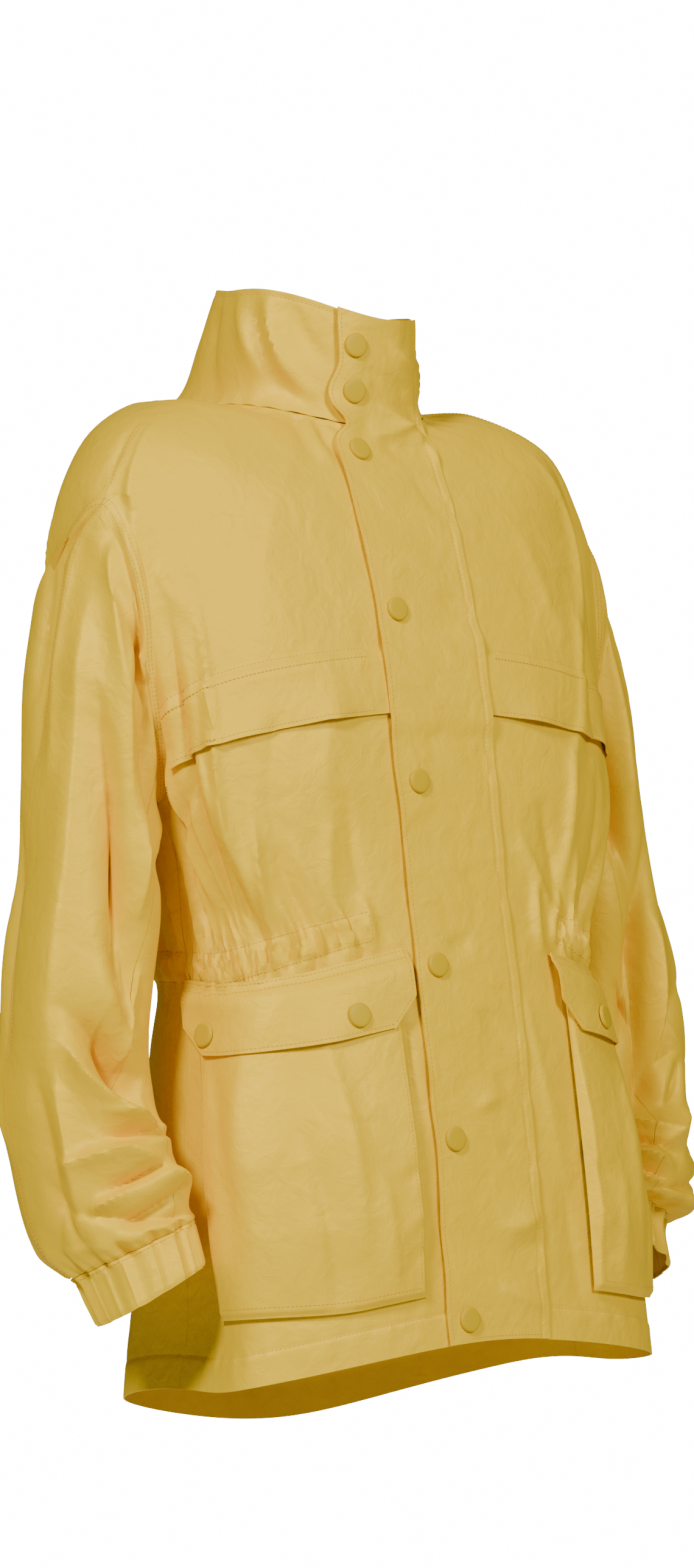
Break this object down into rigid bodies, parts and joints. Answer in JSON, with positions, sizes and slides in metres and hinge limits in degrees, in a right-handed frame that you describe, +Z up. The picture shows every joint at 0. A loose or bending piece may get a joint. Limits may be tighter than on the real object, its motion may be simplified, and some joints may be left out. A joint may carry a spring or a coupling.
{
  "type": "windbreaker jacket",
  "caption": "Hip-length windbreaker with a stand collar, snapped storm placket, storm yoke, drawn-in waist, large patch pockets with flaps and gathered cuffs, in its worn shape.",
  "frame": {"origin": "on the neck axis at the height of the shoulder's high point by the neck", "axes": "+Z up along the wearer's neck, -Y out of the wearer's front, +X to the wearer's left"},
  "size_m": [0.6132, 0.3278, 0.848],
  "materials": {
    "cloth": "crisp yellow coated poplin with a soft sheen",
    "snap_paint": "smooth yellow paint, semi-gloss"
  },
  "bodies": {
    "root": {"front_yoke_right": "cloth", "front_lower_right": "cloth", "pocket_right": "cloth", "pocket_flap_right": "cloth", "sleeve_front_right": "cloth", "sleeve_back_right": "cloth", "cuff_right": "cloth", "front_yoke_left": "cloth", "front_lower_left": "cloth", "pocket_left": "cloth", "pocket_flap_left": "cloth", "sleeve_front_left": "cloth", "sleeve_back_left": "cloth", "cuff_left": "cloth", "back": "cloth", "collar": "cloth", "placket": "cloth", "snap_1": "snap_paint", "snap_2": "snap_paint", "snap_3": "snap_paint", "snap_4": "snap_paint", "snap_5": "snap_paint", "snap_6": "snap_paint", "snap_7": "snap_paint", "snap_8": "snap_paint", "flap_snap_right_1": "snap_paint", "flap_snap_right_2": "snap_paint", "flap_snap_left_1": "snap_paint", "flap_snap_left_2": "snap_paint"}
  },
  "joints": []
}
